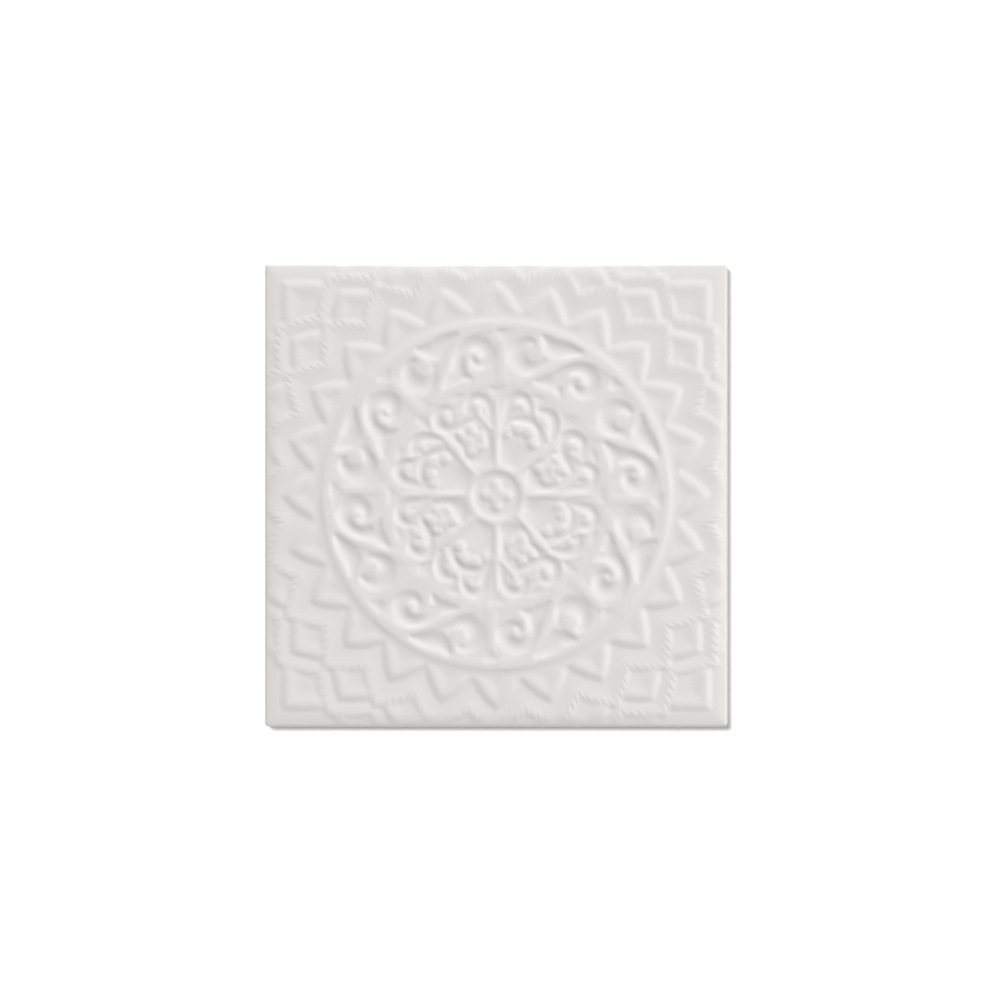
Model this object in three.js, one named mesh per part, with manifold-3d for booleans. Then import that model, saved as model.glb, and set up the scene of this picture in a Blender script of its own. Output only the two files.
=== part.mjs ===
import * as THREE from "three";
import { mergeVertices } from "three/addons/utils/BufferGeometryUtils.js";
import Module from "manifold-3d";

const wasm = await Module();
wasm.setup();

// Sizes of the fired tile in millimetres
const TILE_SIDE = 148;
const CORNER_RADIUS = 1.2;
const EDGE_ROUND = 0.5;
const FACE_LEVEL = 7;
const RELIEF = 1.6;
const BORDER_SLOPE = 3;
const ROOT = 0.4;

// Plain grooves pressed into the back so that it grips
const GROOVE_COUNT = 8;
const GROOVE_DEPTH = 0.5;
const GROOVE_SHARE = 0.5;
const BACK_BORDER = 9;

// The ornament is drawn on a tile of this side and grows with the real one
const DRAWN_SIDE = 148;
const drawn = TILE_SIDE / DRAWN_SIDE;
const SCROLLS = 8;
const SECTORS = 4;
const PETALS = 24;
const ROUND_STEPS = 40;

// Levels above the face as shares of the relief
const CREST = 1;
const PLATEAU = 0.66;
const SCROLL_FIELD = 0.8;
const FLOOR = 0.3;
const LOW_PETAL = 0.36;
const PETAL_RIM = 0.64;
const PETAL_DISH = 0.42;

const level = (share) => FACE_LEVEL + share * RELIEF;
const at = ([x, y]) => new THREE.Vector2(x * drawn, y * drawn);

// A solid from any closed three.js geometry
function solid(geometry) {
  const g = geometry.clone();
  g.deleteAttribute("normal");
  g.deleteAttribute("uv");
  const merged = mergeVertices(g, 1e-4);
  const mesh = new wasm.Mesh({
    numProp: 3,
    vertProperties: Float32Array.from(merged.attributes.position.array),
    triVerts: Uint32Array.from(merged.index.array),
  });
  return new wasm.Manifold(mesh);
}

// A closed skin over stacked rings of equal length, each anticlockwise from above, lowest first
function skinned(rings) {
  const count = rings[0].length;
  const position = rings.flat().flatMap((p) => [p.x, p.y, p.z]);
  const index = [];
  for (let k = 0; k + 1 < rings.length; k++) {
    for (let i = 0; i < count; i++) {
      const j = (i + 1) % count;
      const low = k * count;
      const high = low + count;
      index.push(low + i, low + j, high + j, low + i, high + j, high + i);
    }
  }
  const cap = (ring) =>
    THREE.ShapeUtils.triangulateShape(
      ring.map((p) => new THREE.Vector2(p.x, p.y)),
      [],
    );
  const last = (rings.length - 1) * count;
  cap(rings[0]).forEach(([a, b, c]) => index.push(a, c, b));
  cap(rings[rings.length - 1]).forEach(([a, b, c]) =>
    index.push(last + a, last + b, last + c),
  );
  const g = new THREE.BufferGeometry();
  g.setAttribute("position", new THREE.Float32BufferAttribute(position, 3));
  g.setIndex(index);
  return solid(g);
}

// A prism over an outline whose far end is drawn in towards its middle
function tapered(points, lowLevel, highLevel, lowSize, highSize) {
  const outline = points.map(at);
  const middle = outline
    .reduce((sum, p) => sum.add(p), new THREE.Vector2())
    .divideScalar(outline.length);
  if (THREE.ShapeUtils.area(outline) < 0) outline.reverse();
  const ring = (size, z) =>
    outline.map((p) => {
      const q = p.clone().sub(middle).multiplyScalar(size).add(middle);
      return new THREE.Vector3(q.x, q.y, z);
    });
  return skinned([ring(lowSize, lowLevel), ring(highSize, highLevel)]);
}

// A bar of the given cross-section swept along a smooth line through the points
// The section lists [offset across, level] pairs, and the ends are drawn in by endSize
function swept(points, section, stepsPerSpan, endSize) {
  const curve = new THREE.CatmullRomCurve3(
    points.map(at).map((p) => new THREE.Vector3(p.x, p.y, 0)),
    false,
    "centripetal",
  );
  const steps = (points.length - 1) * stepsPerSpan;
  const position = [];
  for (let k = 0; k <= steps; k++) {
    const p = curve.getPoint(k / steps);
    const t = curve.getTangent(k / steps);
    const size = k === 0 || k === steps ? endSize : 1;
    section.forEach(([across, z]) => {
      const d = across * size * drawn;
      position.push(p.x + t.y * d, p.y - t.x * d, z);
    });
  }
  const n = section.length;
  const index = [];
  for (let k = 0; k < steps; k++) {
    for (let i = 0; i < n; i++) {
      const a = k * n + i;
      const b = k * n + ((i + 1) % n);
      index.push(a, b + n, b, a, a + n, b + n);
    }
  }
  const end = steps * n;
  for (let i = 1; i + 1 < n; i++) {
    index.push(0, i, i + 1, end, end + i + 1, end + i);
  }
  const g = new THREE.BufferGeometry();
  g.setAttribute("position", new THREE.Float32BufferAttribute(position, 3));
  g.setIndex(index);
  return solid(g);
}

const ridge = (points, half, crest, steps = 1) =>
  swept(
    points,
    [
      [-half, FACE_LEVEL - ROOT],
      [half, FACE_LEVEL - ROOT],
      [half * 0.55, level(crest * 0.8)],
      [0, level(crest)],
      [-half * 0.55, level(crest * 0.8)],
    ],
    steps,
    0.6,
  );

const rim = (points, half, crest) =>
  swept(
    points,
    [
      [-half, FACE_LEVEL - ROOT],
      [half, FACE_LEVEL - ROOT],
      [half * 0.4, level(crest)],
      [-half * 0.4, level(crest)],
    ],
    1,
    1,
  );

const groove = (points, half, steps = 1) =>
  swept(
    points,
    [
      [-half * 0.4, level(FLOOR)],
      [half * 0.4, level(FLOOR)],
      [half * 1.25, level(CREST + 0.1)],
      [-half * 1.25, level(CREST + 0.1)],
    ],
    steps,
    0.5,
  );

const leaf = (points, share) => tapered(points, FACE_LEVEL - ROOT, level(share), 1, 0.92);

const pocket = (points) => tapered(points, level(FLOOR), level(CREST + 0.1), 0.5, 1.25);

const dish = (points) => tapered(points, level(PETAL_DISH), level(CREST), 0.6, 1.6);

const bulb = ([x, y], radius, share) => {
  const ball = new THREE.SphereGeometry(1, 7, 4);
  ball.rotateX(Math.PI / 2);
  ball.scale(radius * drawn, radius * drawn, share * RELIEF);
  ball.translate(x * drawn, y * drawn, FACE_LEVEL);
  return solid(ball);
};

const dimple = ([x, y], radius) => {
  const cone = new THREE.ConeGeometry(radius * drawn, RELIEF, 6);
  cone.rotateX(-Math.PI / 2);
  cone.translate(x * drawn, y * drawn, level(0.72));
  return solid(cone);
};

const turned = (shapes, count) => {
  const all = [];
  for (let k = 0; k < count; k++) {
    shapes.forEach((s) => all.push(s.rotate([0, 0, (360 * k) / count])));
  }
  return all;
};

// The slab with its small rounded edge
function slab() {
  const half = TILE_SIDE / 2;
  const ring = (inset, z) => {
    const edge = half - inset;
    const radius = Math.max(CORNER_RADIUS - inset, 0.1);
    const points = [];
    for (let corner = 0; corner < 4; corner++) {
      const turn = (corner * Math.PI) / 2;
      const middle = new THREE.Vector2(edge - radius, edge - radius);
      for (let k = 0; k <= 2; k++) {
        const a = (k * Math.PI) / 4;
        const p = new THREE.Vector2(Math.cos(a), Math.sin(a)).multiplyScalar(radius).add(middle);
        p.rotateAround(new THREE.Vector2(), turn);
        points.push(new THREE.Vector3(p.x, p.y, z));
      }
    }
    return points;
  };
  const round = EDGE_ROUND * (1 - Math.SQRT1_2);
  return skinned([
    ring(0, 0),
    ring(0, FACE_LEVEL - EDGE_ROUND),
    ring(round, FACE_LEVEL - round),
    ring(EDGE_ROUND, FACE_LEVEL),
  ]);
}

// The round medallion: radius and level of its turned outline
function medallion() {
  const outline = [
    [0, -0.3],
    [58.5, -0.3],
    [56.6, 0.7],
    [54.4, 1],
    [52.2, SCROLL_FIELD],
    [39, SCROLL_FIELD],
    [36.5, 0.86],
    [33.8, PLATEAU],
    [10.6, PLATEAU],
    [8.6, 0.86],
    [6.4, 0.46],
    [0, 0.46],
  ];
  const turnedShape = new THREE.LatheGeometry(
    outline.map(([r, share]) => new THREE.Vector2(r * drawn, level(share))),
    ROUND_STEPS,
  );
  turnedShape.rotateX(Math.PI / 2);
  return solid(turnedShape);
}

// Four lobes round the dimple at the very centre
const centreLobes = turned([bulb([3.4, 0], 1.9, 0.85)], SECTORS);

// One quarter of the rosette, repeated four times
const rosetteRidges = turned(
  [
    ridge([[9, 0], [20.5, 0], [31, 0]], 1.3, 0.95),
    ridge([[6.5, 6.5], [14, 12.7], [20.5, 20]], 2, 0.95),
    rim([[12, 26.5], [14, 22], [16.5, 16]], 1.1, 0.85),
    rim([[20.5, 0.5], [22.5, 4.8], [25.5, 6.5]], 1, 0.85),
    bulb([7, 26.5], 2.2, 0.95),
    bulb([15.3, 23], 1.7, 0.9),
    bulb([10.8, 17], 1.8, 0.85),
    bulb([24, 15.3], 2.3, 0.95),
    bulb([27, 5.8], 2.2, 0.95),
  ],
  SECTORS,
);
const rosettePockets = turned(
  [
    groove([[3, 24], [4.6, 28.6], [7.5, 31.3], [10, 28.5]], 0.9),
    groove([[14.2, 26.4], [17.3, 25], [17.9, 22], [17.3, 19]], 0.9),
    pocket([[1.8, 16.2], [2.2, 10.6], [6.3, 9.6], [11.2, 13.5], [8, 14.8]]),
    groove([[3, 21], [5, 22.8], [7.5, 22]], 0.6),
    groove([[23, 7], [20.6, 13], [20.6, 16.4], [23.6, 19], [27, 17.8], [27.5, 13.3]], 0.9),
    groove([[26.5, 9], [30, 8.2], [30.6, 4.6], [26.5, 2]], 0.9),
    pocket([[11.8, 8], [10.6, 5.8], [11, 3], [13.5, 2.2], [14.5, 3.4]]),
    dimple([5, 20.3], 1.2),
    dimple([18, 12.2], 1.2),
    dimple([0, 33.4], 1.9),
    dimple([13.5, 30.5], 1.6),
    dimple([31, 12.5], 1.6),
  ],
  SECTORS,
);

// One scroll of the running border, repeated eight times
const scrollRidges = turned(
  [
    ridge([[1.6, 38], [1.8, 52]], 2.4, 0.9),
    ridge([[10, 36.5], [17, 40.4], [24, 42.9], [31, 43.5]], 2.2, 0.9),
    rim([[22.5, 31.5], [22.3, 35.5], [23.5, 37.7], [26, 38.3], [28, 37]], 1.2, 0.85),
    rim([[14.6, 51.5], [13.8, 48.5], [12.6, 45.5]], 1.5, 0.85),
    bulb([12.3, 44.8], 2.8, 0.95),
    bulb([27, 35.4], 1.8, 0.95),
  ],
  SCROLLS,
);
const scrollPockets = turned(
  [
    groove([[9.5, 48.8], [6.3, 46], [6.8, 41.8], [9.2, 40], [12, 40.2]], 1),
    groove(
      [[19.5, 38], [22.6, 39.9], [27, 41.1], [31.1, 38.3], [30.8, 33.9], [27.2, 31.7], [24.2, 33.6]],
      0.9,
    ),
    pocket([[15.6, 48.8], [16.3, 44.2], [25.3, 45.6]]),
    pocket([[13.6, 36.1], [20.6, 33.6], [20, 37.9]]),
    dimple([1.7, 51.6], 1.8),
  ],
  SCROLLS,
);

// The inner row of pointed petals, each with a raised rim round a dished middle
const innerPetal = [
  tapered(
    [[-6.7, 58.6], [6.7, 58.6], [6.1, 62.4], [3.8, 66], [0, 69.6], [-3.8, 66], [-6.1, 62.4]],
    FACE_LEVEL - ROOT,
    level(PETAL_RIM),
    1.04,
    0.88,
  ),
];
const innerPetalDish = [dish([[-3.4, 59.8], [3.4, 59.8], [3.1, 62], [0, 64.8], [-3.1, 62]])];

// The outer row: broader petals behind the first, with a raised edge
const outerPetal = [
  tapered(
    [[-8.2, 67.6], [8.2, 67.6], [8.4, 70.8], [5, 74.8], [0, 78.8], [-5, 74.8], [-8.4, 70.8]],
    FACE_LEVEL - ROOT,
    level(LOW_PETAL),
    1.02,
    0.94,
  ),
  rim([[-7.4, 70], [-4.8, 73.4], [0, 77], [4.8, 73.4], [7.4, 70]], 0.9, 0.6),
];

// The square petal of a corner and the two beside it, each with a raised rim round a dished middle
const cornerPetals = [
  leaf([[58.6, 58.6], [69.4, 56.4], [70.8, 70.8], [56.4, 69.4]], PETAL_RIM),
  leaf([[42.6, 56.6], [54.6, 56.6], [53.2, 67.6], [41.6, 66.8]], PETAL_RIM),
  leaf([[56.6, 42.6], [66.8, 41.6], [67.6, 53.2], [56.6, 54.6]], PETAL_RIM),
];
const cornerDishes = [
  dish([[61.4, 61.4], [66.8, 60.2], [67.6, 67.6], [60.2, 66.8]]),
  dish([[45.6, 59.6], [51.4, 59.6], [50.6, 64.6], [45, 64.2]]),
  dish([[59.6, 45.6], [64.2, 45], [64.6, 50.6], [59.6, 51.4]]),
];

// The ornament stops at a sloping border just inside the edge of the face
function border() {
  const square = (half, z) =>
    [
      [half, half],
      [-half, half],
      [-half, -half],
      [half, -half],
    ].map(([x, y]) => new THREE.Vector3(x, y, z));
  const half = TILE_SIDE / 2 - EDGE_ROUND;
  return skinned([
    square(half, FACE_LEVEL - ROOT),
    square(half, FACE_LEVEL),
    square(half - BORDER_SLOPE, level(CREST)),
  ]);
}

// Blind grooves in the back, either side of a plain land through the centre
function backGrooves() {
  const field = TILE_SIDE - 2 * BACK_BORDER;
  const pitch = field / GROOVE_COUNT;
  const grooves = [];
  for (let k = 0; k < GROOVE_COUNT; k++) {
    const g = new THREE.BoxGeometry(pitch * GROOVE_SHARE, field, 2 * GROOVE_DEPTH);
    g.translate((k + 0.5) * pitch - field / 2, 0, 0);
    grooves.push(solid(g));
  }
  return grooves;
}

const union = (shapes) => wasm.Manifold.union(shapes);
const raised = union([
  medallion(),
  ...centreLobes,
  ...rosetteRidges,
  ...scrollRidges,
  ...turned(innerPetal, PETALS),
  ...turned(outerPetal, PETALS),
  ...turned(cornerPetals, SECTORS),
]);
const sunk = union([
  ...rosettePockets,
  ...scrollPockets,
  ...turned(innerPetalDish, PETALS),
  ...turned(cornerDishes, SECTORS),
  ...backGrooves(),
]);
const tile = slab().add(raised.intersect(border())).subtract(sunk);

function meshOf(name, shape, material) {
  const made = shape.getMesh();
  const g = new THREE.BufferGeometry();
  g.setAttribute("position", new THREE.BufferAttribute(made.vertProperties, 3));
  g.setIndex(new THREE.BufferAttribute(made.triVerts, 1));
  g.computeVertexNormals();
  const mesh = new THREE.Mesh(g, material);
  mesh.name = name;
  return mesh;
}

const whiteGlaze = new THREE.MeshStandardMaterial({ color: 0xe4e4e1, roughness: 0.25 });
whiteGlaze.name = "white_glaze";

const group = new THREE.Group();
group.add(meshOf("tile", tile, whiteGlaze));
export default group;
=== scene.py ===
import math

import bmesh
import bpy
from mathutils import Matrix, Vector


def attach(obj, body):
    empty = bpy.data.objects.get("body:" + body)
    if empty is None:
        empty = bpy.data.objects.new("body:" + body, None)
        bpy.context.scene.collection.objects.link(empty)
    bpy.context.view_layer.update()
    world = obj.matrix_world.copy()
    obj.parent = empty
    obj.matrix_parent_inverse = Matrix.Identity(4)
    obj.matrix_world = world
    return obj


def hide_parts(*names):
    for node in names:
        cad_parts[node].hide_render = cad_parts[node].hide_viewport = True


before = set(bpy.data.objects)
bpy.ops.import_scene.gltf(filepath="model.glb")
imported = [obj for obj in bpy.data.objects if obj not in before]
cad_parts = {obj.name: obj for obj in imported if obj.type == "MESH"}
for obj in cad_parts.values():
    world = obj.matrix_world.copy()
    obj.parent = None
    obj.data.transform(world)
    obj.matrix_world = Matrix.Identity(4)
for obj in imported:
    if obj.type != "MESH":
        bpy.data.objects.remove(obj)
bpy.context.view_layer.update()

MM = 0.001

# The tile is a closed blank, into whose face one Geometry Nodes tree presses the ornament.
# Sizes of the blank: its face lies at the foot of the relief.
SIDE = 148 * MM
FACE = 7.0 * MM
RELIEF = 1.6 * MM
EDGE_ROUND = 0.5 * MM
EDGE_RINGS = (0.45, 0.9, 1.25, math.pi / 2)  # how far round the edge each ring of points lies, in radians
FOOT_RING = 1.6 * MM  # one more ring of points, about where the glaze ends
CORNER_RADIUS = 1.2 * MM
CELL = 0.5 * MM
CELLS = round(SIDE / CELL)
GROOVES = 8
GROOVE_DEPTH = 0.5 * MM
GROOVE_SHARE = 0.5  # of the pitch of the grooves
BACK_BORDER = 9 * MM
SHARP = math.radians(60)  # edges that turn by more than this stay crisp

# What repeats round the centre
SCROLLS = 8
SECTORS = 4
PETALS = 24
TEETH = 10  # notches of a fringe to a petal

# The levels of the relief, as shares of it
POCKET_FLOOR = 0.36  # where a pocket is fully pressed
GROUND = 0.3  # under the petals
TOOTH_DEPTH = 0.1  # of the notches in the fringes

# The rows of petals, lowest first: how far from the centre their tips and valleys lie and how far their
# sides bulge, in mm, whether they stand between the others' tips, whether they are fringed, and their drop
PETAL_ROWS = [
    ("Third petal", 97.6, 86.6, 0.0, False, False, 0.18),
    ("Second fringe", 88.4, 80.8, 0.3, True, True, 0.1),
    ("Second petal", 83.2, 75.4, 0.5, True, False, 0.12),
    ("First fringe", 77.8, 69.6, 0.3, False, True, 0.0),
    ("First petal", 68.8, 59.8, 1.0, False, False, 0.0),
]
PETAL_STEPS = 4.0  # a petal's side is drawn in this many steps
PETAL_SECTION = (-2.6 * MM, 7.4 * MM)  # a petal's section runs from outside its outline to inside it
PETAL_LAP = 0.8 * MM  # a petal starts this far outside its outline
FRINGE_LAP = 2.0 * MM
COVERED = 0.6 * MM  # this far inside its outline a petal hides all that lies under it
PETALS_START = 57.5 * MM  # the petals take over from the ring between these distances from the centre
PETALS_WHOLE = 60.5 * MM
TOUCH = 0.001 * MM  # a place this near to an outline's face lies inside the outline
BORDER = 5 * MM  # the ornament fades out over this width
BORDER_CORNER = 0.5 * MM  # how softly the border turns at the corners

# The fringes are pressed deeper in some patches than in others. Of a tooth's wave, which runs from -1
# to 1, only what is above a level is cut. The patches are a noise, and a tooth is faint up to the first
# value of it and whole from the second.
PATCH_SIZE = 6.7 * MM
NOTCH_FROM = -0.4
NOTCH_PATCHES = (0.36, 0.66)
FAINT_NOTCH = 0.1
HAIR_FROM = 0.2
HAIR_PATCHES = (0.3, 0.65)
FAINT_HAIR = 0.3

# The glaze
HAIR_DEPTH = 0.07 * MM
RIPPLE_SIZE = 3 * MM  # the waves in its surface
RIPPLE_DEPTH = 0.04 * MM
FOOT_WAVE = 11 * MM  # the line to which it was wiped off wanders this often, and this far up and down
FOOT_WANDER = 1.2 * MM
BARE_BELOW = 0.9 * MM
GLAZED_ABOVE = 1.2 * MM
GLAZE_COLOUR = "d4d3cf"
BISCUIT_COLOUR = "cfc4b2"
ROUGHNESS = (0.45, 0.9)  # of the glaze and of the bare biscuit
GLAZE_IOR = 1.5

# The strokes of the ornament: each point is x, y and half width in mm, then a share of the relief.
# A pocket's share is how deep it is pressed, and a ridge's is the level of its crest.
DOT_SPACING = 0.2
ROSETTE_SPREAD = 1.15  # how much wider than its stroke a pocket opens out
SCROLL_SPREAD = 1.2

ROSETTE_POCKETS = [
    # the middle of the flower
    [(-0.2, 0, 1.0, 0.14), (0.2, 0, 1.0, 0.14)],
    # round the four knobs of the scalloped edge
    [(3.0, 23.4, 0.9, 0.4), (3.3, 25.6, 1.4, 0.85), (3.8, 27.8, 1.7, 1.0), (4.6, 30.0, 1.7, 1.0),
     (6.8, 31.4, 1.7, 1.0), (9.2, 30.8, 1.6, 1.0), (10.4, 28.9, 1.2, 0.85), (10.7, 27.2, 0.8, 0.4)],
    [(13.2, 26.6, 0.8, 0.4), (15.2, 26.5, 1.4, 0.85), (17.2, 25.6, 1.7, 1.0), (18.2, 23.8, 1.8, 1.0),
     (18.3, 21.6, 1.7, 0.95), (18.0, 19.8, 1.2, 0.6), (17.6, 18.4, 0.7, 0.25)],
    [(24.3, 6.9, 0.8, 0.4), (23.2, 9.2, 1.3, 0.9), (21.9, 11.5, 1.5, 1.0), (20.9, 13.6, 1.4, 1.0),
     (20.9, 15.9, 1.5, 0.95), (22.0, 18.1, 1.6, 0.95), (24.5, 18.9, 1.7, 1.0), (26.9, 17.8, 1.5, 0.9),
     (27.7, 15.9, 1.1, 0.75), (27.0, 14.2, 0.8, 0.4)],
    [(26.6, 9.2, 0.8, 0.4), (28.8, 9.1, 1.4, 0.9), (30.8, 7.8, 1.6, 1.0), (31.2, 5.6, 1.6, 1.0),
     (30.2, 3.5, 1.6, 0.95), (28.0, 2.4, 1.4, 0.9), (25.8, 2.1, 1.1, 0.65), (24.2, 2.4, 0.7, 0.25)],
    # the curl in each knob
    [(7.0, 27.3, 0.9, 0.3), (7.4, 27.2, 0.9, 0.3)],
    [(15.7, 21.9, 0.9, 0.3), (15.9, 21.7, 0.9, 0.3)],
    [(24.8, 14.0, 1.0, 0.3), (25.2, 14.0, 1.0, 0.3)],
    [(26.6, 4.4, 0.9, 0.3), (27.0, 4.2, 0.9, 0.3)],
    # over the first leaf, and where its foot falls away towards the ring
    [(2.8, 22.6, 0.8, 0.35), (4.8, 23.8, 1.1, 0.65), (7.2, 24.1, 1.4, 0.9), (9.8, 23.8, 1.4, 0.95),
     (11.8, 22.7, 1.25, 1.0), (13.0, 21.1, 1.1, 0.95), (13.8, 19.1, 0.95, 0.7), (14.2, 17.4, 0.6, 0.35)],
    [(4.7, 11.5, 3.4, 1.0), (5.2, 12.6, 4.1, 0.95), (5.8, 14.0, 4.7, 0.76), (6.3, 15.6, 4.9, 0.5),
     (6.8, 17.2, 4.6, 0.22)],
    [(4.9, 19.9, 0.8, 0.3), (5.1, 19.3, 0.8, 0.2)],
    # beside and in the second leaf
    [(10.9, 8.0, 1.3, 0.7), (11.3, 6.2, 2.3, 1.0), (12.0, 4.4, 2.6, 1.0), (13.8, 3.0, 1.8, 0.95),
     (15.6, 2.3, 1.1, 0.65), (17.2, 2.4, 1.0, 0.6), (18.8, 3.0, 1.0, 0.45)],
    [(16.6, 12.0, 0.9, 0.4), (18.2, 13.1, 1.1, 0.55), (19.8, 13.4, 0.9, 0.6)],
    [(16.6, 5.8, 0.7, 0.25), (17.0, 5.2, 0.7, 0.25)],
    [(20.6, 5.6, 0.8, 0.4), (21.6, 6.2, 0.8, 0.35)],
    # dips outside the scalloped edge
    [(-1.9, 34.4, 0.9, 0.3), (0.0, 33.4, 1.7, 0.5), (1.9, 34.4, 0.9, 0.3)],
    [(0.0, 33.4, 1.5, 0.45), (0.0, 31.4, 0.8, 0.25)],
    [(12.2, 31.4, 1.0, 0.3), (13.5, 30.9, 1.4, 0.4), (14.8, 30.6, 1.0, 0.3)],
    [(30.7, 14.0, 1.0, 0.3), (31.2, 12.5, 1.4, 0.45), (31.7, 11.0, 1.0, 0.3)],
    [(21.6, 21.8, 0.9, 0.3), (23.2, 23.3, 1.8, 0.5), (24.2, 24.6, 1.3, 0.35)],
]

ROSETTE_RIDGES = [
    # the flower in the middle
    [(0.0, 0, 3.3, 0.76), (1.5, 0, 2.6, 0.77), (3.0, 0, 1.9, 0.8), (3.4, 0, 1.9, 0.8)],
    # the ribs
    [(9.5, 0, 1.25, 0.9), (15, 0, 1.2, 0.9), (18.4, 0, 1.6, 0.9), (20.6, 0, 2.3, 0.92),
     (22.8, -0.2, 1.4, 0.84), (27, 0, 1.0, 0.8), (31, 0, 1.0, 0.76)],
    [(6.3, 6.3, 1.1, 0.88), (9, 8.8, 1.0, 0.86), (12, 11.3, 1.3, 0.88), (14.4, 12.9, 1.9, 0.95),
     (16.8, 15.4, 1.7, 0.92), (18.9, 17.2, 1.1, 0.85), (20.1, 20, 0.8, 0.8), (20.4, 24, 0.8, 0.78),
     (19.2, 28, 1.2, 0.8)],
    [(18.9, 17.2, 1.0, 0.8), (20.6, 20.4, 0.8, 0.8), (24.0, 21.4, 0.9, 0.78), (28, 20.6, 1.2, 0.8)],
    # the knobs
    [(7.2, 28.2, 2.0, 0.84), (7.5, 28.4, 2.0, 0.86)],
    [(14.7, 23.3, 1.8, 0.84), (15.0, 23.1, 1.8, 0.86), (15.5, 21.2, 1.1, 0.8), (16.1, 19.0, 0.9, 0.78),
     (16.5, 17.2, 0.8, 0.8)],
    [(24.2, 15.5, 1.9, 0.86), (24.5, 15.7, 1.9, 0.88)],
    [(24.4, 13.2, 1.4, 0.82), (25.6, 12.2, 1.4, 0.82), (26.6, 11.0, 1.0, 0.8)],
    [(28.0, 6.2, 1.8, 0.86), (28.2, 6.2, 1.8, 0.86), (26.4, 5.8, 1.2, 0.82), (24.8, 4.8, 1.0, 0.8),
     (22.6, 3.0, 0.9, 0.8), (20.9, 1.2, 1.0, 0.84)],
    [(12.2, 29.0, 1.0, 0.8), (12.2, 26.6, 1.1, 0.86), (12.9, 24.9, 0.9, 0.82)],
    # the lobes of the first leaf
    [(3.5, 19.8, 2.0, 0.86), (3.8, 20.0, 2.0, 0.86)],
    [(6.6, 21.3, 2.4, 0.93), (7.0, 21.3, 2.4, 0.93)],
    [(10.1, 20.3, 2.5, 0.93), (10.5, 19.9, 2.5, 0.93)],
    [(11.5, 16.6, 2.1, 0.93), (11.8, 16.3, 2.0, 0.95)],
    # the lobes of the second leaf
    [(14.0, 7.9, 2.2, 0.9), (14.3, 8.0, 2.2, 0.9)],
    [(17.0, 8.7, 2.3, 0.9), (17.3, 8.9, 2.3, 0.9)],
    [(18.8, 11.2, 2.0, 0.93), (19.1, 11.4, 1.9, 0.93)],
    [(20.7, 8.0, 2.2, 0.95), (21.0, 8.1, 2.2, 0.95)],
    [(15.6, 5.3, 2.3, 0.8), (18.4, 5.5, 2.5, 0.82), (18.8, 5.6, 2.3, 0.82)],
]

SCROLL_POCKETS = [
    # round the outer curl
    [(11.4, 49.0, 1.2, 0.6), (9.8, 48.9, 1.7, 0.85), (8.1, 47.9, 2.3, 1.0), (6.9, 46.2, 2.8, 1.0),
     (6.7, 44.1, 3.1, 1.0), (7.4, 42.2, 3.0, 1.0), (9.0, 40.9, 2.7, 1.0), (11.1, 40.7, 2.1, 0.9),
     (13.2, 41.5, 1.4, 0.6), (14.9, 42.7, 1.0, 0.35)],
    # between the stem and the ring
    [(15.2, 50.5, 1.1, 0.5), (16.5, 48.7, 2.2, 0.85), (18.5, 46.8, 3.1, 1.0), (21.4, 46.4, 2.8, 1.0),
     (24.2, 46.1, 2.1, 0.9), (27.0, 45.5, 1.1, 0.5)],
    # round the inner curl, with a branch towards the rosette
    [(12.8, 36.2, 1.0, 0.45), (15.6, 36.1, 2.0, 0.85), (18.6, 35.9, 2.8, 1.0), (20.4, 37.6, 2.3, 0.95),
     (22.4, 39.4, 1.9, 0.9), (25.0, 40.3, 1.9, 0.9), (27.8, 40.1, 2.2, 0.95), (29.8, 38.6, 2.5, 1.0),
     (30.7, 36.3, 2.7, 1.0), (30.1, 33.9, 2.6, 1.0), (28.3, 32.8, 2.4, 1.0), (26.2, 33.0, 2.0, 1.0),
     (25.0, 34.4, 1.3, 0.85), (25.4, 35.8, 0.8, 0.45)],
    [(18.9, 35.0, 2.2, 0.95), (19.9, 33.2, 1.4, 0.65), (20.5, 31.9, 0.8, 0.3)],
    # a dip against the ring, between one pair of curls and the next
    [(0.1, 52.4, 1.0, 0.25), (1.8, 51.8, 1.7, 0.45), (3.6, 52.5, 1.0, 0.25)],
    [(1.8, 51.8, 1.5, 0.4), (1.7, 50.2, 0.9, 0.25)],
]

SCROLL_RIDGES = [
    # between one pair of curls and the next
    [(1.7, 37.5, 2.2, 0.9), (1.6, 41, 2.0, 0.92), (1.6, 46, 1.8, 0.94), (1.7, 49.0, 1.8, 0.94)],
    # the stem, which runs out into the ring
    [(7, 35.6, 2.2, 0.9), (11, 36.9, 2.0, 0.94), (14, 38.6, 1.8, 0.94), (18, 40.6, 1.8, 0.94),
     (21, 41.9, 1.8, 0.94), (25, 43.1, 1.8, 0.94), (29, 43.5, 2.0, 0.96), (32.5, 42.8, 2.2, 1.0),
     (37, 39.4, 2.2, 1.0)],
    # the inner curl
    [(21.9, 31.6, 1.4, 0.85), (21.9, 34.2, 1.5, 0.9), (22.9, 36.6, 1.5, 0.9), (24.8, 37.8, 1.6, 0.9),
     (26.6, 37.4, 1.9, 0.88), (27.3, 36.2, 2.0, 0.88), (26.8, 35.4, 1.8, 0.84)],
    # the outer curl
    [(12.6, 50.8, 1.5, 0.9), (13.4, 48.6, 1.5, 0.92), (13.7, 46.8, 1.8, 0.9), (12.6, 45.2, 2.6, 0.9),
     (11.8, 44.6, 2.4, 0.86)],
]

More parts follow.
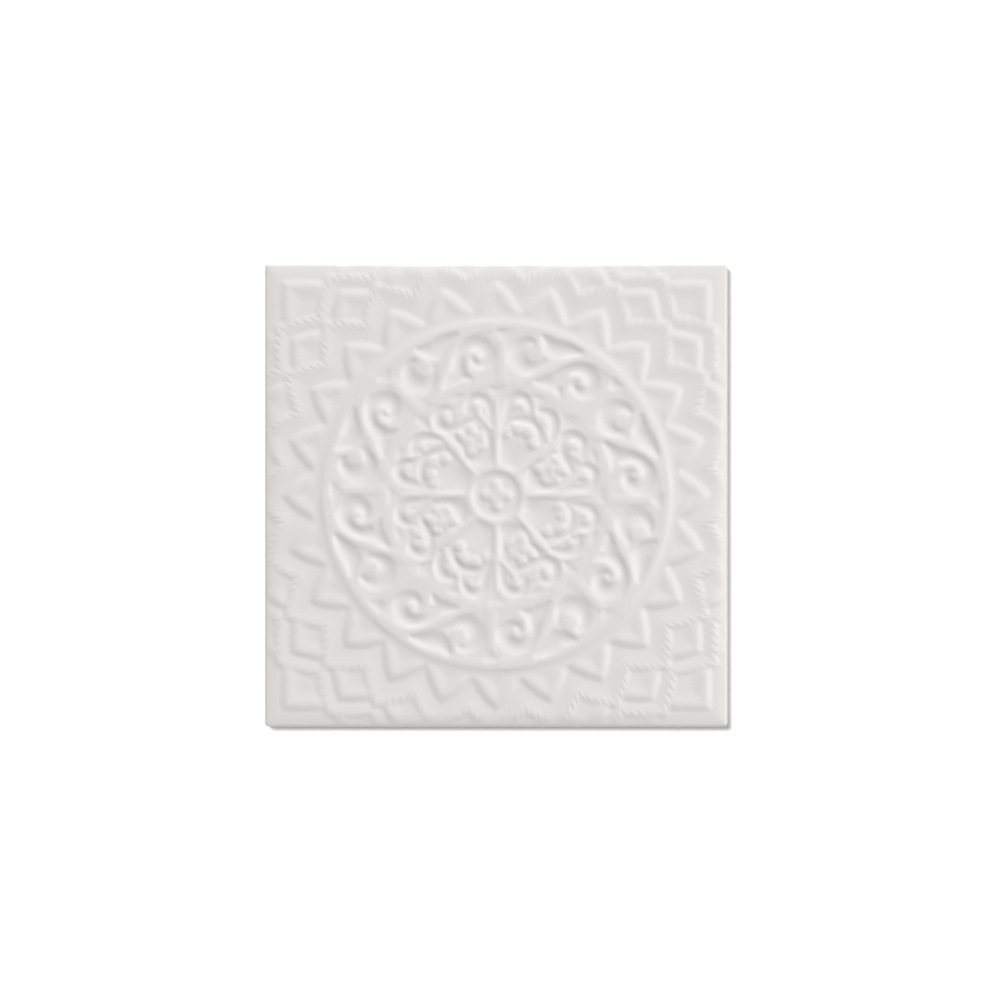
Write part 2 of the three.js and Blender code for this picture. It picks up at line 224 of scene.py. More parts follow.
# The moulded sections, as (across, level) with both from 0 to 1
MEDALLION_REACH = 60 * MM
MEDALLION = [
    # the flower's field, the small ring, the rosette's field, a step up to the scrolls, and the plain ring
    (0.0, 0.46), (0.03, 0.46), (0.07, 0.46), (0.09, 0.44), (0.106, 0.46), (0.125, 0.64), (0.143, 0.84),
    (0.165, 0.74), (0.2, 0.64), (0.5, 0.66), (0.55, 0.72), (0.6, 0.82), (0.64, 0.79), (0.68, 0.78),
    (0.82, 0.79), (0.85, 0.82), (0.88, 0.89), (0.902, 0.95), (0.918, 0.93), (0.935, 0.8), (0.952, 0.7),
    (0.966, 0.66), (1.0, 0.65),
]
SMOOTH_PETAL = [
    (0.0, 0.34), (0.1, 0.34), (0.22, 0.43), (0.34, 0.6), (0.44, 0.75), (0.5, 0.79), (0.6, 0.76), (0.76, 0.64),
    (0.9, 0.57), (1.0, 0.55),
]
FRINGED_PETAL = [
    (0.0, 0.4), (0.08, 0.42), (0.22, 0.59), (0.31, 0.68), (0.4, 0.65), (0.54, 0.56), (0.72, 0.47),
    (1.0, 0.42),
]
FRINGE_NOTCH = [
    (0.0, 0.0), (0.2, 0.0), (0.26, 0.7), (0.32, 1.0), (0.38, 0.5), (0.46, 0.2), (0.65, 0.12), (1.0, 0.04),
]
RIDGE_SECTION = [(0.0, 1.0), (0.35, 0.93), (0.7, 0.6), (0.9, 0.25), (1.0, 0.0)]
POCKET_SECTION = [(0.0, 1.0), (0.22, 0.91), (0.48, 0.65), (0.74, 0.3), (0.9, 0.07), (1.0, 0.0)]


def linear(code):
    """An sRGB hex colour as linear RGBA."""
    parts = [int(code[i : i + 2], 16) / 255 for i in (0, 2, 4)]
    return [c / 12.92 if c <= 0.04045 else ((c + 0.055) / 1.055) ** 2.4 for c in parts] + [1.0]


def add(tree, kind, settings=None, inputs=None):
    """Adds a node with its settings and what goes into its inputs, and returns its outputs."""
    node = tree.nodes.new(kind)
    for name, value in (settings or {}).items():
        setattr(node, name, value)
    for name, value in (inputs or {}).items():
        if isinstance(value, bpy.types.NodeSocket):
            tree.links.new(value, node.inputs[name])
        else:
            node.inputs[name].default_value = value
    return node.outputs


def draw_section(output, points):
    """Draws the cross-section of a moulding on a float curve, from its (across, level) points."""
    curve = output.node.mapping.curves[0]
    while len(curve.points) > 2:
        curve.points.remove(curve.points[1])
    curve.points[0].location = points[0]
    curve.points[1].location = points[-1]
    for point in points[1:-1]:
        curve.points.new(*point)
    output.node.mapping.update()
    return output


def between(a, b, c, d, t):
    """The point at share t from b to c, on the smooth curve through all four."""
    return 0.5 * (
        2 * b + (c - a) * t + (2 * a - 5 * b + 4 * c - d) * t**2 + (3 * b - a - 3 * c + d) * t**3
    )


def trace(name, strokes, spread=1.0):
    """Loose points along smooth strokes, in metres, each with its half width and share."""
    dots = []
    for stroke in strokes:
        knots = [Vector(point) for point in stroke]
        knots = [2 * knots[0] - knots[1], *knots, 2 * knots[-1] - knots[-2]]
        for a, b, c, d in zip(knots, knots[1:], knots[2:], knots[3:]):
            steps = max(2, round((c.xy - b.xy).length / DOT_SPACING))
            dots += [between(a, b, c, d, k / steps) for k in range(steps)]
        dots.append(knots[-2])
    mesh = bpy.data.meshes.new(name)
    mesh.from_pydata([(dot[0] * MM, dot[1] * MM, 0) for dot in dots], [], [])
    half_width = mesh.attributes.new("half_width", "FLOAT", "POINT")
    half_width.data.foreach_set("value", [dot[2] * spread * MM for dot in dots])
    share = mesh.attributes.new("share", "FLOAT", "POINT")
    share.data.foreach_set("value", [dot[3] for dot in dots])
    made = bpy.data.objects.new(name, mesh)
    bpy.context.scene.collection.objects.link(made)
    return made


def face_grid():
    """The points and cells of the flat face, and the numbers of the points round its rim."""
    count = CELLS + 1
    flat = SIDE / 2 - EDGE_ROUND
    step = 2 * flat / CELLS
    points = [(i * step - flat, j * step - flat, FACE) for j in range(count) for i in range(count)]
    faces = [
        (j * count + i, j * count + i + 1, (j + 1) * count + i + 1, (j + 1) * count + i)
        for j in range(CELLS)
        for i in range(CELLS)
    ]
    rim = list(range(CELLS))
    rim += [j * count + CELLS for j in range(CELLS)]
    rim += [CELLS * count + i for i in range(CELLS, 0, -1)]
    rim += [j * count for j in range(CELLS, 0, -1)]
    return points, faces, rim


def add_edge(points, faces, rim):
    """Adds rings of points from the rim of the face over the rounded edge and down the upright side."""
    half = SIDE / 2
    flat = half - EDGE_ROUND
    rings = [(EDGE_ROUND * (1 - math.sin(a)), FACE - EDGE_ROUND * (1 - math.cos(a))) for a in EDGE_RINGS]
    rings += [(0, FOOT_RING), (0, 0)]
    start = [Vector(points[k][:2]) for k in rim]
    last = rim
    for inset, z in rings:
        edge = half - inset
        radius = CORNER_RADIUS - inset
        core = edge - radius
        ring = []
        for place in start:
            spot = place * (edge / flat)
            over = Vector((max(abs(spot.x) - core, 0), max(abs(spot.y) - core, 0)))
            if over.x and over.y:
                over = over.normalized() * radius
                spot = Vector((math.copysign(core + over.x, spot.x), math.copysign(core + over.y, spot.y)))
            ring.append(len(points))
            points.append((spot.x, spot.y, z))
        for k in range(len(ring)):
            n = (k + 1) % len(ring)
            faces.append((last[k], ring[k], ring[n], last[n]))
        last = ring


def add_grooves(points, faces):
    """Adds the walls and floors of the grooves in the back, which help the adhesive to hold."""
    field = SIDE - 2 * BACK_BORDER
    end = field / 2
    pitch = field / GROOVES
    for k in range(GROOVES):
        left = (k + 0.5) * pitch - end - pitch * GROOVE_SHARE / 2
        right = left + pitch * GROOVE_SHARE
        corners = [(left, -end), (right, -end), (right, end), (left, end)]
        low = range(len(points), len(points) + 4)
        points += [(x, y, 0) for x, y in corners]
        high = range(len(points), len(points) + 4)
        points += [(x, y, GROOVE_DEPTH) for x, y in corners]
        faces += [(low[i], low[(i + 1) % 4], high[(i + 1) % 4], high[i]) for i in range(4)]
        faces.append(tuple(high))


def blank():
    """The unmoulded tile as one closed mesh: a finely divided face, a rounded edge and a grooved back."""
    points, faces, rim = face_grid()
    on_face = len(points)
    add_edge(points, faces, rim)
    add_grooves(points, faces)
    mesh = bpy.data.meshes.new("blank")
    mesh.from_pydata(points, [], faces)

    # The back is filled in round the mouths of the grooves
    work = bmesh.new()
    work.from_mesh(mesh)
    open_edges = [edge for edge in work.edges if edge.is_boundary]
    bmesh.ops.triangle_fill(work, edges=open_edges, use_beauty=True, normal=(0, 0, -1))
    bmesh.ops.recalc_face_normals(work, faces=work.faces)
    work.to_mesh(mesh)
    work.free()

    share = mesh.attributes.new("on_face", "FLOAT", "POINT")
    share.data.foreach_set("value", [1.0 if k < on_face else 0.0 for k in range(len(points))])
    made = bpy.data.objects.new("moulded_tile", mesh)
    bpy.context.scene.collection.objects.link(made)
    return made


def new_group(name, sockets):
    """A node group with these (in or out, name, type, default) sockets, and its inputs."""
    group = bpy.data.node_groups.new(name, "GeometryNodeTree")
    for way, label, kind, default in sockets:
        socket = group.interface.new_socket(label, in_out=way, socket_type="NodeSocket" + kind)
        if default is not None:
            socket.default_value = default
    return group, add(group, "NodeGroupInput")


def repeat_group():
    """A group that repeats a motif round the middle of the tile."""
    group, given = new_group(
        "repeat round the centre",
        [
            ("INPUT", "Motif", "Geometry", None),
            ("INPUT", "Count", "Int", SCROLLS),
            ("OUTPUT", "Ring", "Geometry", None),
        ],
    )
    places = add(
        group, "GeometryNodeMeshLine", {"mode": "OFFSET"}, {"Count": given["Count"], "Offset": (0, 0, 0)}
    )[0]
    share = add(group, "ShaderNodeMath", {"operation": "DIVIDE"}, {0: math.tau, 1: given["Count"]})[0]
    index = add(group, "GeometryNodeInputIndex")[0]
    angle = add(group, "ShaderNodeMath", {"operation": "MULTIPLY"}, {0: index, 1: share})[0]
    turn = add(group, "ShaderNodeCombineXYZ", None, {"Z": angle})[0]
    placed = add(
        group,
        "GeometryNodeInstanceOnPoints",
        None,
        {"Points": places, "Instance": given["Motif"], "Rotation": turn},
    )[0]
    real = add(group, "GeometryNodeRealizeInstances", None, {"Geometry": placed})[0]
    add(group, "NodeGroupOutput", None, {"Ring": real})
    return group


def nearest_stroke_group():
    """A group that gives, for a place, how far it is across the nearest stroke, and that stroke's share."""
    group, given = new_group(
        "nearest stroke",
        [
            ("INPUT", "Strokes", "Geometry", None),
            ("INPUT", "Place", "Vector", None),
            ("OUTPUT", "Across", "Float", None),
            ("OUTPUT", "Share", "Float", None),
        ],
    )
    strokes, place = given["Strokes"], given["Place"]
    nearest = add(
        group, "GeometryNodeSampleNearest", None, {"Geometry": strokes, "Sample Position": place}
    )[0]
    spot = add(group, "GeometryNodeInputPosition")[0]
    half_width, share = [
        add(group, "GeometryNodeInputNamedAttribute", {"data_type": "FLOAT"}, {"Name": name})[0]
        for name in ("half_width", "share")
    ]
    spot_there, half_width_there, share_there = [
        add(
            group,
            "GeometryNodeSampleIndex",
            {"data_type": kind},
            {"Geometry": strokes, "Value": field, "Index": nearest},
        )[0]
        for kind, field in (("FLOAT_VECTOR", spot), ("FLOAT", half_width), ("FLOAT", share))
    ]
    away = add(group, "ShaderNodeVectorMath", {"operation": "DISTANCE"}, {0: place, 1: spot_there})["Value"]
    across = add(group, "ShaderNodeMath", {"operation": "DIVIDE"}, {0: away, 1: half_width_there})[0]
    add(group, "NodeGroupOutput", None, {"Across": across, "Share": share_there})
    return group


def inside_outline_group():
    """A group that gives how far a place lies inside an outline: above zero inside it, below zero outside."""
    group, given = new_group(
        "inside an outline",
        [
            ("INPUT", "Outline", "Geometry", None),
            ("INPUT", "Place", "Vector", None),
            ("OUTPUT", "Inside", "Float", None),
        ],
    )
    to_face, to_edge = [
        add(
            group,
            "GeometryNodeProximity",
            {"target_element": target},
            {0: given["Outline"], "Sample Position": given["Place"]},
        )["Distance"]
        for target in ("FACES", "EDGES")
    ]
    is_in = add(group, "ShaderNodeMath", {"operation": "LESS_THAN"}, {0: to_face, 1: TOUCH})[0]
    inside = add(group, "ShaderNodeMath", {"operation": "MULTIPLY"}, {0: to_edge, 1: is_in})[0]
    signed = add(group, "ShaderNodeMath", {"operation": "SUBTRACT"}, {0: inside, 1: to_face})[0]
    add(group, "NodeGroupOutput", None, {"Inside": signed})
    return group


def stroke_field(tree, given, place, repeat, nearest, kind, section):
    """The share of the nearest pocket or ridge, and how much of it there is at a place, by its section."""
    both = add(tree, "GeometryNodeJoinGeometry")[0]
    for motif, count in (("Rosette " + kind, "Sectors"), ("Scroll " + kind, "Scrolls")):
        shape = add(tree, "GeometryNodeObjectInfo", None, {"Object": given[motif]})["Geometry"]
        ring = add(
            tree, "GeometryNodeGroup", {"node_tree": repeat}, {"Motif": shape, "Count": given[count]}
        )[0]
        tree.links.new(ring, both.node.inputs[0])
    near = add(tree, "GeometryNodeGroup", {"node_tree": nearest}, {"Strokes": both, "Place": place})
    curve = add(tree, "ShaderNodeFloatCurve", None, {"Value": near["Across"]})[0]
    return near["Share"], draw_section(curve, section)


def medallion_level(tree, given, place, radius):
    """The level of the turned medallion, with its ridges and the pockets pressed between them."""
    groups = repeat_group(), nearest_stroke_group()
    reach = add(tree, "ShaderNodeMath", {"operation": "DIVIDE"}, {0: radius, 1: MEDALLION_REACH})[0]
    turned = draw_section(add(tree, "ShaderNodeFloatCurve", None, {"Value": reach})[0], MEDALLION)
    crest, dome = stroke_field(tree, given, place, *groups, "ridges", RIDGE_SECTION)
    higher = add(tree, "ShaderNodeMath", {"operation": "MAXIMUM"}, {0: crest, 1: turned})[0]
    ridged = add(tree, "ShaderNodeMix", {"data_type": "FLOAT"}, {"Factor": dome, "A": turned, "B": higher})[0]
    depth, bowl = stroke_field(tree, given, place, *groups, "pockets", POCKET_SECTION)
    pressed = add(tree, "ShaderNodeMath", {"operation": "MULTIPLY"}, {0: depth, 1: bowl})[0]
    floor = given["Pocket floor"]
    return add(tree, "ShaderNodeMix", {"data_type": "FLOAT"}, {"Factor": pressed, "A": ridged, "B": floor})[0]


def uneven_teeth(tree, place, spot, teeth, wave_from, patches, faint):
    """The teeth of the fringes, from 0 to 1. They run out from the centre and are pressed unevenly."""
    angle = add(tree, "ShaderNodeMath", {"operation": "ARCTAN2"}, {0: spot["Y"], 1: spot["X"]})[0]
    turns = add(tree, "ShaderNodeMath", {"operation": "MULTIPLY"}, {0: angle, 1: teeth})[0]
    wave = add(tree, "ShaderNodeMath", {"operation": "COSINE"}, {0: turns})[0]
    line = add(
        tree,
        "ShaderNodeMapRange",
        {"interpolation_type": "SMOOTHSTEP"},
        {"Value": wave, "From Min": wave_from, "From Max": 1.0, "To Min": 0.0, "To Max": 1.0},
    )[0]
    noise = add(
        tree,
        "ShaderNodeTexNoise",
        {"noise_dimensions": "2D"},
        {"Vector": place, "Scale": 1 / PATCH_SIZE, "Detail": 1.0},
    )[0]
    uneven = add(
        tree,
        "ShaderNodeMapRange",
        None,
        {"Value": noise, "From Min": patches[0], "From Max": patches[1], "To Min": faint, "To Max": 1.0},
    )[0]
    return add(tree, "ShaderNodeMath", {"operation": "MULTIPLY"}, {0: line, 1: uneven})[0]


def notch_depth(tree, given, place, spot):
    """How deep the notches of the fringes are at a place."""
    petals, teeth_a_petal = given["Petals"], given["Teeth a petal"]
    count = add(tree, "ShaderNodeMath", {"operation": "MULTIPLY"}, {0: petals, 1: teeth_a_petal})[0]
    teeth = uneven_teeth(tree, place, spot, count, NOTCH_FROM, NOTCH_PATCHES, FAINT_NOTCH)
    return add(tree, "ShaderNodeMath", {"operation": "MULTIPLY"}, {0: teeth, 1: given["Tooth depth"]})[0]


def petal_star(tree, given, row, turn):
    """A star-shaped face with one tip to a petal, whose sides bulge a little on their way to the valleys."""
    petals = given["Petals"]
    corners = add(tree, "ShaderNodeMath", {"operation": "MULTIPLY"}, {0: petals, 1: 2 * PETAL_STEPS})[0]
    circle = add(
        tree, "GeometryNodeMeshCircle", {"fill_type": "NGON"}, {"Vertices": corners, "Radius": 1.0}
    )[0]
    index = add(tree, "GeometryNodeInputIndex")[0]
    step = add(tree, "ShaderNodeMath", {"operation": "PINGPONG"}, {0: index, 1: PETAL_STEPS})[0]
    to_valley = add(tree, "ShaderNodeMath", {"operation": "DIVIDE"}, {0: step, 1: PETAL_STEPS})[0]
    to_tip = add(tree, "ShaderNodeMath", {"operation": "SUBTRACT"}, {0: 1.0, 1: to_valley})[0]
    straight = add(
        tree,
        "ShaderNodeMix",
        {"data_type": "FLOAT"},
        {"Factor": to_valley, "A": given[row + " tips"], "B": given[row + " valleys"]},
    )[0]

    # Halfway between tip and valley the belly is a quarter, so four times it gives the whole bulge
    belly = add(tree, "ShaderNodeMath", {"operation": "MULTIPLY"}, {0: to_valley, 1: to_tip})[0]
    bulge = add(tree, "ShaderNodeMath", {"operation": "MULTIPLY"}, {0: given[row + " bulge"], 1: 4.0})[0]
    reach = add(tree, "ShaderNodeMath", {"operation": "MULTIPLY_ADD"}, {0: belly, 1: bulge, 2: straight})[0]
    out = add(tree, "GeometryNodeInputPosition")[0]
    spot = add(tree, "ShaderNodeVectorMath", {"operation": "SCALE"}, {0: out, "Scale": reach})[0]
    star = add(tree, "GeometryNodeSetPosition", None, {"Geometry": circle, "Position": spot})[0]
    turned = add(tree, "ShaderNodeCombineXYZ", None, {"Z": turn})[0]
    return add(tree, "GeometryNodeTransform", None, {"Geometry": star, "Rotation": turned})[0]


def petal_levels(tree, given, place, notches):
    """The level of the rows of petals, each of which hides what lies under it, and how much hair shows."""
    inside_outline = inside_outline_group()
    half_petal = add(tree, "ShaderNodeMath", {"operation": "DIVIDE"}, {0: math.pi, 1: given["Petals"]})[0]
    first, last = PETAL_SECTION
    level = GROUND
    hairs = 0.0
    for row, *_, staggered, fringed, drop in PETAL_ROWS:
        star = petal_star(tree, given, row, half_petal if staggered else 0.0)
        inside = add(
            tree, "GeometryNodeGroup", {"node_tree": inside_outline}, {"Outline": star, "Place": place}
        )[0]
        across = add(
            tree,
            "ShaderNodeMapRange",
            None,
            {"Value": inside, "From Min": first, "From Max": last, "To Min": 0.0, "To Max": 1.0},
        )[0]
        curve = add(tree, "ShaderNodeFloatCurve", None, {"Value": across})[0]
        top = draw_section(curve, FRINGED_PETAL if fringed else SMOOTH_PETAL)
        hair = 0.0
        if fringed:
            hair = draw_section(add(tree, "ShaderNodeFloatCurve", None, {"Value": across})[0], FRINGE_NOTCH)
            notch = add(tree, "ShaderNodeMath", {"operation": "MULTIPLY"}, {0: hair, 1: notches})[0]
            top = add(tree, "ShaderNodeMath", {"operation": "SUBTRACT"}, {0: top, 1: notch})[0]
        top = add(tree, "ShaderNodeMath", {"operation": "SUBTRACT"}, {0: top, 1: drop})[0]
        lap = FRINGE_LAP if fringed else PETAL_LAP
        cover = add(
            tree,
            "ShaderNodeMapRange",
            {"interpolation_type": "SMOOTHSTEP"},
            {"Value": inside, "From Min": -lap, "From Max": COVERED, "To Min": 0.0, "To Max": 1.0},
        )[0]
        level, hairs = [
            add(tree, "ShaderNodeMix", {"data_type": "FLOAT"}, {"Factor": cover, "A": under, "B": over})[0]
            for under, over in ((level, top), (hairs, hair))
        ]
    return level, hairs


def border_share(tree, given, place):
    """How much of the relief is kept: none at the edge, and all of it once the plain border is passed."""
    size = add(tree, "ShaderNodeVectorMath", {"operation": "ABSOLUTE"}, {0: place})[0]
    out = add(tree, "ShaderNodeSeparateXYZ", None, {0: size})
    far = add(
        tree, "ShaderNodeMath", {"operation": "SMOOTH_MAX"}, {0: out["X"], 1: out["Y"], 2: BORDER_CORNER}
    )[0]
    inwards = add(tree, "ShaderNodeMath", {"operation": "SUBTRACT"}, {0: given["Half side"], 1: far})[0]
    fall = add(
        tree,
        "ShaderNodeMapRange",
        None,
        {"Value": inwards, "From Min": 0.0, "From Max": given["Border"], "To Min": 1.0, "To Max": 0.0},
    )[0]
    steeper = add(tree, "ShaderNodeMath", {"operation": "POWER"}, {0: fall, 1: 2.0})[0]
    return add(tree, "ShaderNodeMath", {"operation": "SUBTRACT"}, {0: 1.0, 1: steeper})[0]


def relief_tree(glaze):
    """The tree that presses the ornament into the face of the blank."""
    row_sizes = []
    for row, tips, valleys, bulge, *_ in PETAL_ROWS:
        row_sizes.append(("INPUT", row + " tips", "Float", tips * MM))
        row_sizes.append(("INPUT", row + " valleys", "Float", valleys * MM))
        row_sizes.append(("INPUT", row + " bulge", "Float", bulge * MM))
    tree, given = new_group(
        "moulded relief",
        [
            ("INPUT", "Blank", "Geometry", None),
            ("INPUT", "Rosette pockets", "Object", None),
            ("INPUT", "Rosette ridges", "Object", None),
            ("INPUT", "Scroll pockets", "Object", None),
            ("INPUT", "Scroll ridges", "Object", None),
            ("INPUT", "Relief", "Float", RELIEF),
            ("INPUT", "Half side", "Float", SIDE / 2),
            ("INPUT", "Border", "Float", BORDER),
            ("INPUT", "Scrolls", "Int", SCROLLS),
            ("INPUT", "Sectors", "Int", SECTORS),
            ("INPUT", "Petals", "Int", PETALS),
            *row_sizes,
            ("INPUT", "Pocket floor", "Float", POCKET_FLOOR),
            ("INPUT", "Teeth a petal", "Int", TEETH),
            ("INPUT", "Tooth depth", "Float", TOOTH_DEPTH),
            ("INPUT", "Glaze softening", "Int", 1),
            ("OUTPUT", "Tile", "Geometry", None),
        ],
    )
    spot = add(tree, "ShaderNodeSeparateXYZ", None, {0: add(tree, "GeometryNodeInputPosition")[0]})
    place = add(tree, "ShaderNodeCombineXYZ", None, {"X": spot["X"], "Y": spot["Y"]})[0]
    radius = add(tree, "ShaderNodeVectorMath", {"operation": "LENGTH"}, {0: place})["Value"]

    # The medallion goes over into the petals outside its ring
    middle = medallion_level(tree, given, place, radius)
    petals, hairs = petal_levels(tree, given, place, notch_depth(tree, given, place, spot))
    outside = add(
        tree,
        "ShaderNodeMapRange",
        {"interpolation_type": "SMOOTHSTEP"},
        {"Value": radius, "From Min": PETALS_START, "From Max": PETALS_WHOLE, "To Min": 0.0, "To Max": 1.0},
    )[0]
    whole = add(
        tree, "ShaderNodeMix", {"data_type": "FLOAT"}, {"Factor": outside, "A": middle, "B": petals}
    )[0]

    # The ornament fades out in the border, and the glaze fills its sharpest corners
    kept = border_share(tree, given, place)
    bordered = add(tree, "ShaderNodeMath", {"operation": "MULTIPLY"}, {0: whole, 1: kept})[0]
    softened = add(
        tree,
        "GeometryNodeBlurAttribute",
        {"data_type": "FLOAT"},
        {"Value": bordered, "Iterations": given["Glaze softening"], "Weight": 1.0},
    )[0]
    level = add(tree, "ShaderNodeClamp", None, {"Value": softened, "Min": 0.0, "Max": 1.0})[0]

    # Only the face is raised, and only the face has hairs
    on_face = add(tree, "GeometryNodeInputNamedAttribute", {"data_type": "FLOAT"}, {"Name": "on_face"})[0]
    shown = add(tree, "ShaderNodeMath", {"operation": "MULTIPLY"}, {0: hairs, 1: kept})[0]
    shown = add(tree, "ShaderNodeMath", {"operation": "MULTIPLY"}, {0: shown, 1: on_face})[0]
    stored = add(
        tree,
        "GeometryNodeStoreNamedAttribute",
        {"data_type": "FLOAT", "domain": "POINT"},
        {"Geometry": given["Blank"], "Name": "hairs", "Value": shown},
    )[0]
    risen = add(tree, "ShaderNodeMath", {"operation": "MULTIPLY"}, {0: level, 1: on_face})[0]
    risen = add(tree, "ShaderNodeMath", {"operation": "MULTIPLY"}, {0: risen, 1: given["Relief"]})[0]
    up = add(tree, "ShaderNodeCombineXYZ", None, {"Z": risen})[0]
    moved = add(tree, "GeometryNodeSetPosition", None, {"Geometry": stored, "Offset": up})[0]
    real = add(tree, "GeometryNodeRealizeInstances", None, {"Geometry": moved})[0]
    finished = add(tree, "GeometryNodeSetMaterial", None, {"Geometry": real, "Material": glaze})[0]
    add(tree, "NodeGroupOutput", None, {"Tile": finished})
    return tree


def hair_lines(tree, place, spot):
    """The hairs of the fringes, at the pitch of their notches, where the mesh says that fringe shows."""
    count = float(PETALS * TEETH)
    teeth = uneven_teeth(tree, place, spot, count, HAIR_FROM, HAIR_PATCHES, FAINT_HAIR)
    shown = add(tree, "ShaderNodeAttribute", {"attribute_name": "hairs"})["Fac"]
    return add(tree, "ShaderNodeMath", {"operation": "MULTIPLY"}, {0: teeth, 1: shown})[0]


def bare_foot(tree, place, spot):
    """How bare the body is: the glaze was wiped off the back, up to an uneven line on the side."""
    wander = add(
        tree, "ShaderNodeTexNoise", None, {"Vector": place, "Scale": 1 / FOOT_WAVE, "Detail": 2.0}
    )[0]
    height = add(
        tree, "ShaderNodeMath", {"operation": "MULTIPLY_ADD"}, {0: wander, 1: -FOOT_WANDER, 2: spot["Z"]}
    )[0]
    return add(
        tree,
        "ShaderNodeMapRange",
        {"interpolation_type": "SMOOTHSTEP"},
        {"Value": height, "From Min": BARE_BELOW, "From Max": GLAZED_ABOVE, "To Min": 1.0, "To Max": 0.0},
    )[0]


def white_glaze():
    """Pressed white earthenware, dipped in a white glaze and fired.

    The eye sees broad soft highlights, a face that lies a little unevenly, the fine hairs that the mould
    left in the fringes, and the dull cream body on the back and foot.
    """
    material = bpy.data.materials.new("white_glaze_on_earthenware")
    material.use_nodes = True
    tree = material.node_tree
    tree.nodes.clear()
    place = add(tree, "ShaderNodeTexCoord")["Object"]
    spot = add(tree, "ShaderNodeSeparateXYZ", None, {0: place})

    hairs = hair_lines(tree, place, spot)
    hair_bump = add(
        tree, "ShaderNodeBump", {"invert": True}, {"Strength": 1.0, "Distance": HAIR_DEPTH, "Height": hairs}
    )[0]
    ripple = add(
        tree, "ShaderNodeTexNoise", None, {"Vector": place, "Scale": 1 / RIPPLE_SIZE, "Detail": 2.0}
    )[0]
    normal = add(
        tree,
        "ShaderNodeBump",
        None,
        {"Strength": 1.0, "Distance": RIPPLE_DEPTH, "Height": ripple, "Normal": hair_bump},
    )[0]

    # The colours of a mix node are its inputs 6 and 7 and its output 2
    bare = bare_foot(tree, place, spot)
    colour = add(
        tree,
        "ShaderNodeMix",
        {"data_type": "RGBA"},
        {"Factor": bare, 6: linear(GLAZE_COLOUR), 7: linear(BISCUIT_COLOUR)},
    )[2]
    glazed, biscuit = ROUGHNESS
    roughness = add(
        tree,
        "ShaderNodeMapRange",
        None,
        {"Value": bare, "From Min": 0.0, "From Max": 1.0, "To Min": glazed, "To Max": biscuit},
    )[0]
    shader = add(
        tree,
        "ShaderNodeBsdfPrincipled",
        None,
        {"Base Color": colour, "Roughness": roughness, "IOR": GLAZE_IOR, "Normal": normal},
    )[0]
    add(tree, "ShaderNodeOutputMaterial", None, {"Surface": shader})
    return material


def press(blank_tile, tree, motifs):
    """Runs the relief tree on the blank and leaves a plain mesh."""
    modifier = blank_tile.modifiers.new("relief", "NODES")
    modifier.node_group = tree
    sockets = {item.name: item.identifier for item in tree.interface.items_tree if item.in_out == "INPUT"}
    for name, motif in motifs.items():
        modifier[sockets[name]] = motif
    graph = bpy.context.evaluated_depsgraph_get()
    mesh = bpy.data.meshes.new_from_object(blank_tile.evaluated_get(graph))
    blank_tile.modifiers.clear()
    blank_tile.data = mesh
    mesh.attributes.remove(mesh.attributes["on_face"])
    mesh.shade_smooth()
    mesh.set_sharp_from_angle(angle=SHARP)
    for motif in motifs.values():
        bpy.data.objects.remove(motif)
    return blank_tile


motifs = {
    "Rosette pockets": trace("rosette pockets", ROSETTE_POCKETS, ROSETTE_SPREAD),
    "Rosette ridges": trace("rosette ridges", ROSETTE_RIDGES),
    "Scroll pockets": trace("scroll pockets", SCROLL_POCKETS, SCROLL_SPREAD),
    "Scroll ridges": trace("scroll ridges", SCROLL_RIDGES),
}
tile = press(blank(), relief_tree(white_glaze()), motifs)
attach(tile, "root")
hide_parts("tile")


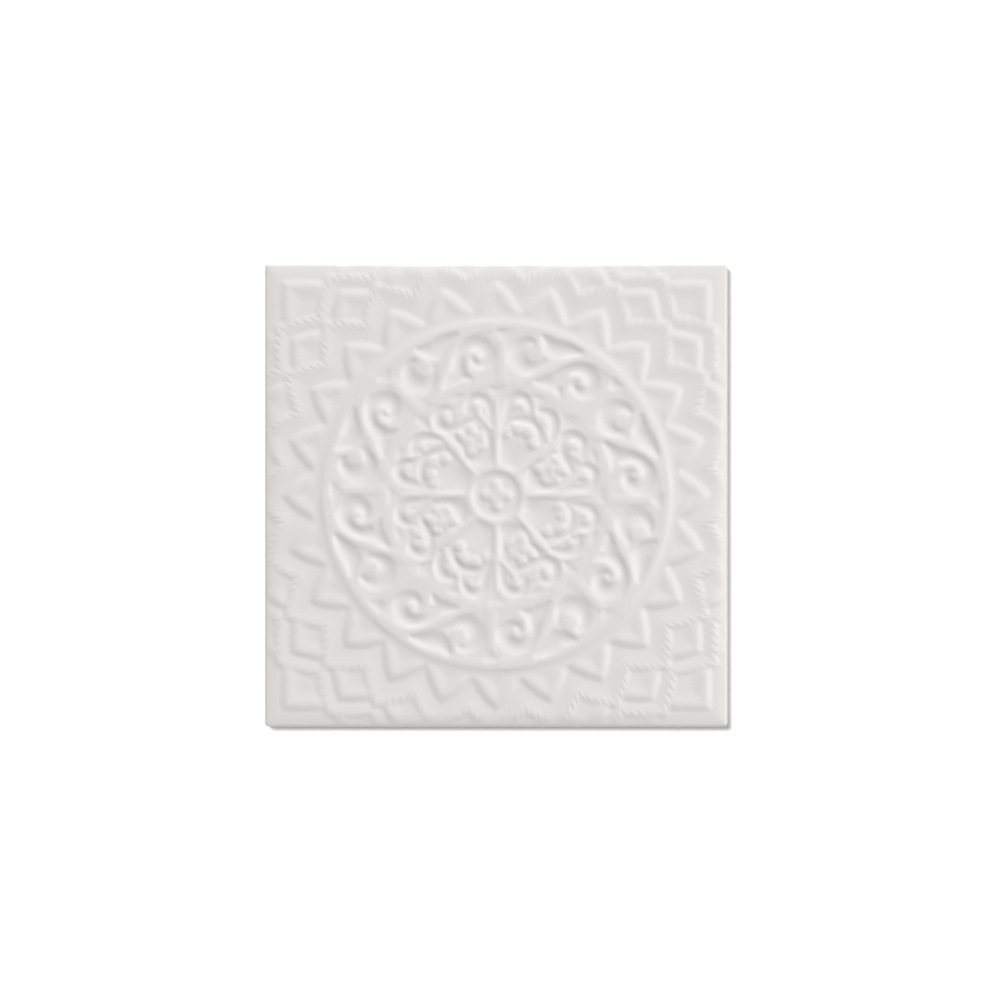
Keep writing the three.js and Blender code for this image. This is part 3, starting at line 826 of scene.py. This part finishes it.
def floor_sheet():
    """A large sheet of plain white paper, which is matt."""
    paper = bpy.data.materials.new("white_paper")
    paper.use_nodes = True
    shader = paper.node_tree.nodes["Principled BSDF"]
    shader.inputs["Base Color"].default_value = linear("fcfcfc")
    shader.inputs["Roughness"].default_value = 0.9
    mesh = bpy.data.meshes.new("floor")
    mesh.from_pydata([(-3, -3, 0), (3, -3, 0), (3, 3, 0), (-3, 3, 0)], [], [(0, 1, 2, 3)])
    mesh.materials.append(paper)
    floor = bpy.data.objects.new("floor", mesh)
    bpy.context.scene.collection.objects.link(floor)
    return floor


def softbox(name, lit, azimuth, elevation, distance, size, watts, shine):
    """A square soft light at these angles, in degrees, and this distance. It lights one object alone."""
    light = bpy.data.lights.new(name, "AREA")
    light.shape = "SQUARE"
    light.size = size
    light.energy = watts
    light.specular_factor = shine
    made = bpy.data.objects.new(name, light)
    a, e = math.radians(azimuth), math.radians(elevation)
    made.location = Vector((math.cos(a) * math.cos(e), math.sin(a) * math.cos(e), math.sin(e))) * distance
    made.rotation_euler = (-made.location).to_track_quat("-Z", "Y").to_euler()
    bpy.context.scene.collection.objects.link(made)
    receivers = bpy.data.collections.new("lit by the " + name)
    receivers.objects.link(lit)
    made.light_linking.receiver_collection = receivers


def soft_room():
    """An even white surround."""
    world = bpy.data.worlds.new("soft_room")
    bpy.context.scene.world = world
    world.use_nodes = True
    background = world.node_tree.nodes["Background"]
    background.inputs["Color"].default_value = linear("ffffff")
    background.inputs["Strength"].default_value = 0.4


def camera_overhead():
    """The camera, with a long lens, straight over the tile as in the photo and a little off its middle."""
    lens = bpy.data.cameras.new("camera")
    lens.lens = 112.7
    lens.sensor_width = 36
    lens.clip_start = 0.01
    camera = bpy.data.objects.new("camera", lens)
    camera.location = (1.2 * MM, -1.5 * MM, 1008.5 * MM)
    bpy.context.scene.collection.objects.link(camera)
    bpy.context.scene.camera = camera
    bpy.context.scene.view_settings.view_transform = "Standard"


# Two soft lights rake the tile alone, and one over the floor gives the tile its shadow
floor = floor_sheet()
soft_room()
softbox("key", tile, azimuth=93, elevation=24, distance=4.0, size=2.0, watts=112, shine=0.12)
softbox("side", tile, azimuth=-6, elevation=50, distance=4.0, size=2.0, watts=97, shine=0.12)
softbox("overhead", floor, azimuth=135, elevation=72, distance=1.6, size=0.4, watts=24, shine=1.0)
camera_overhead()
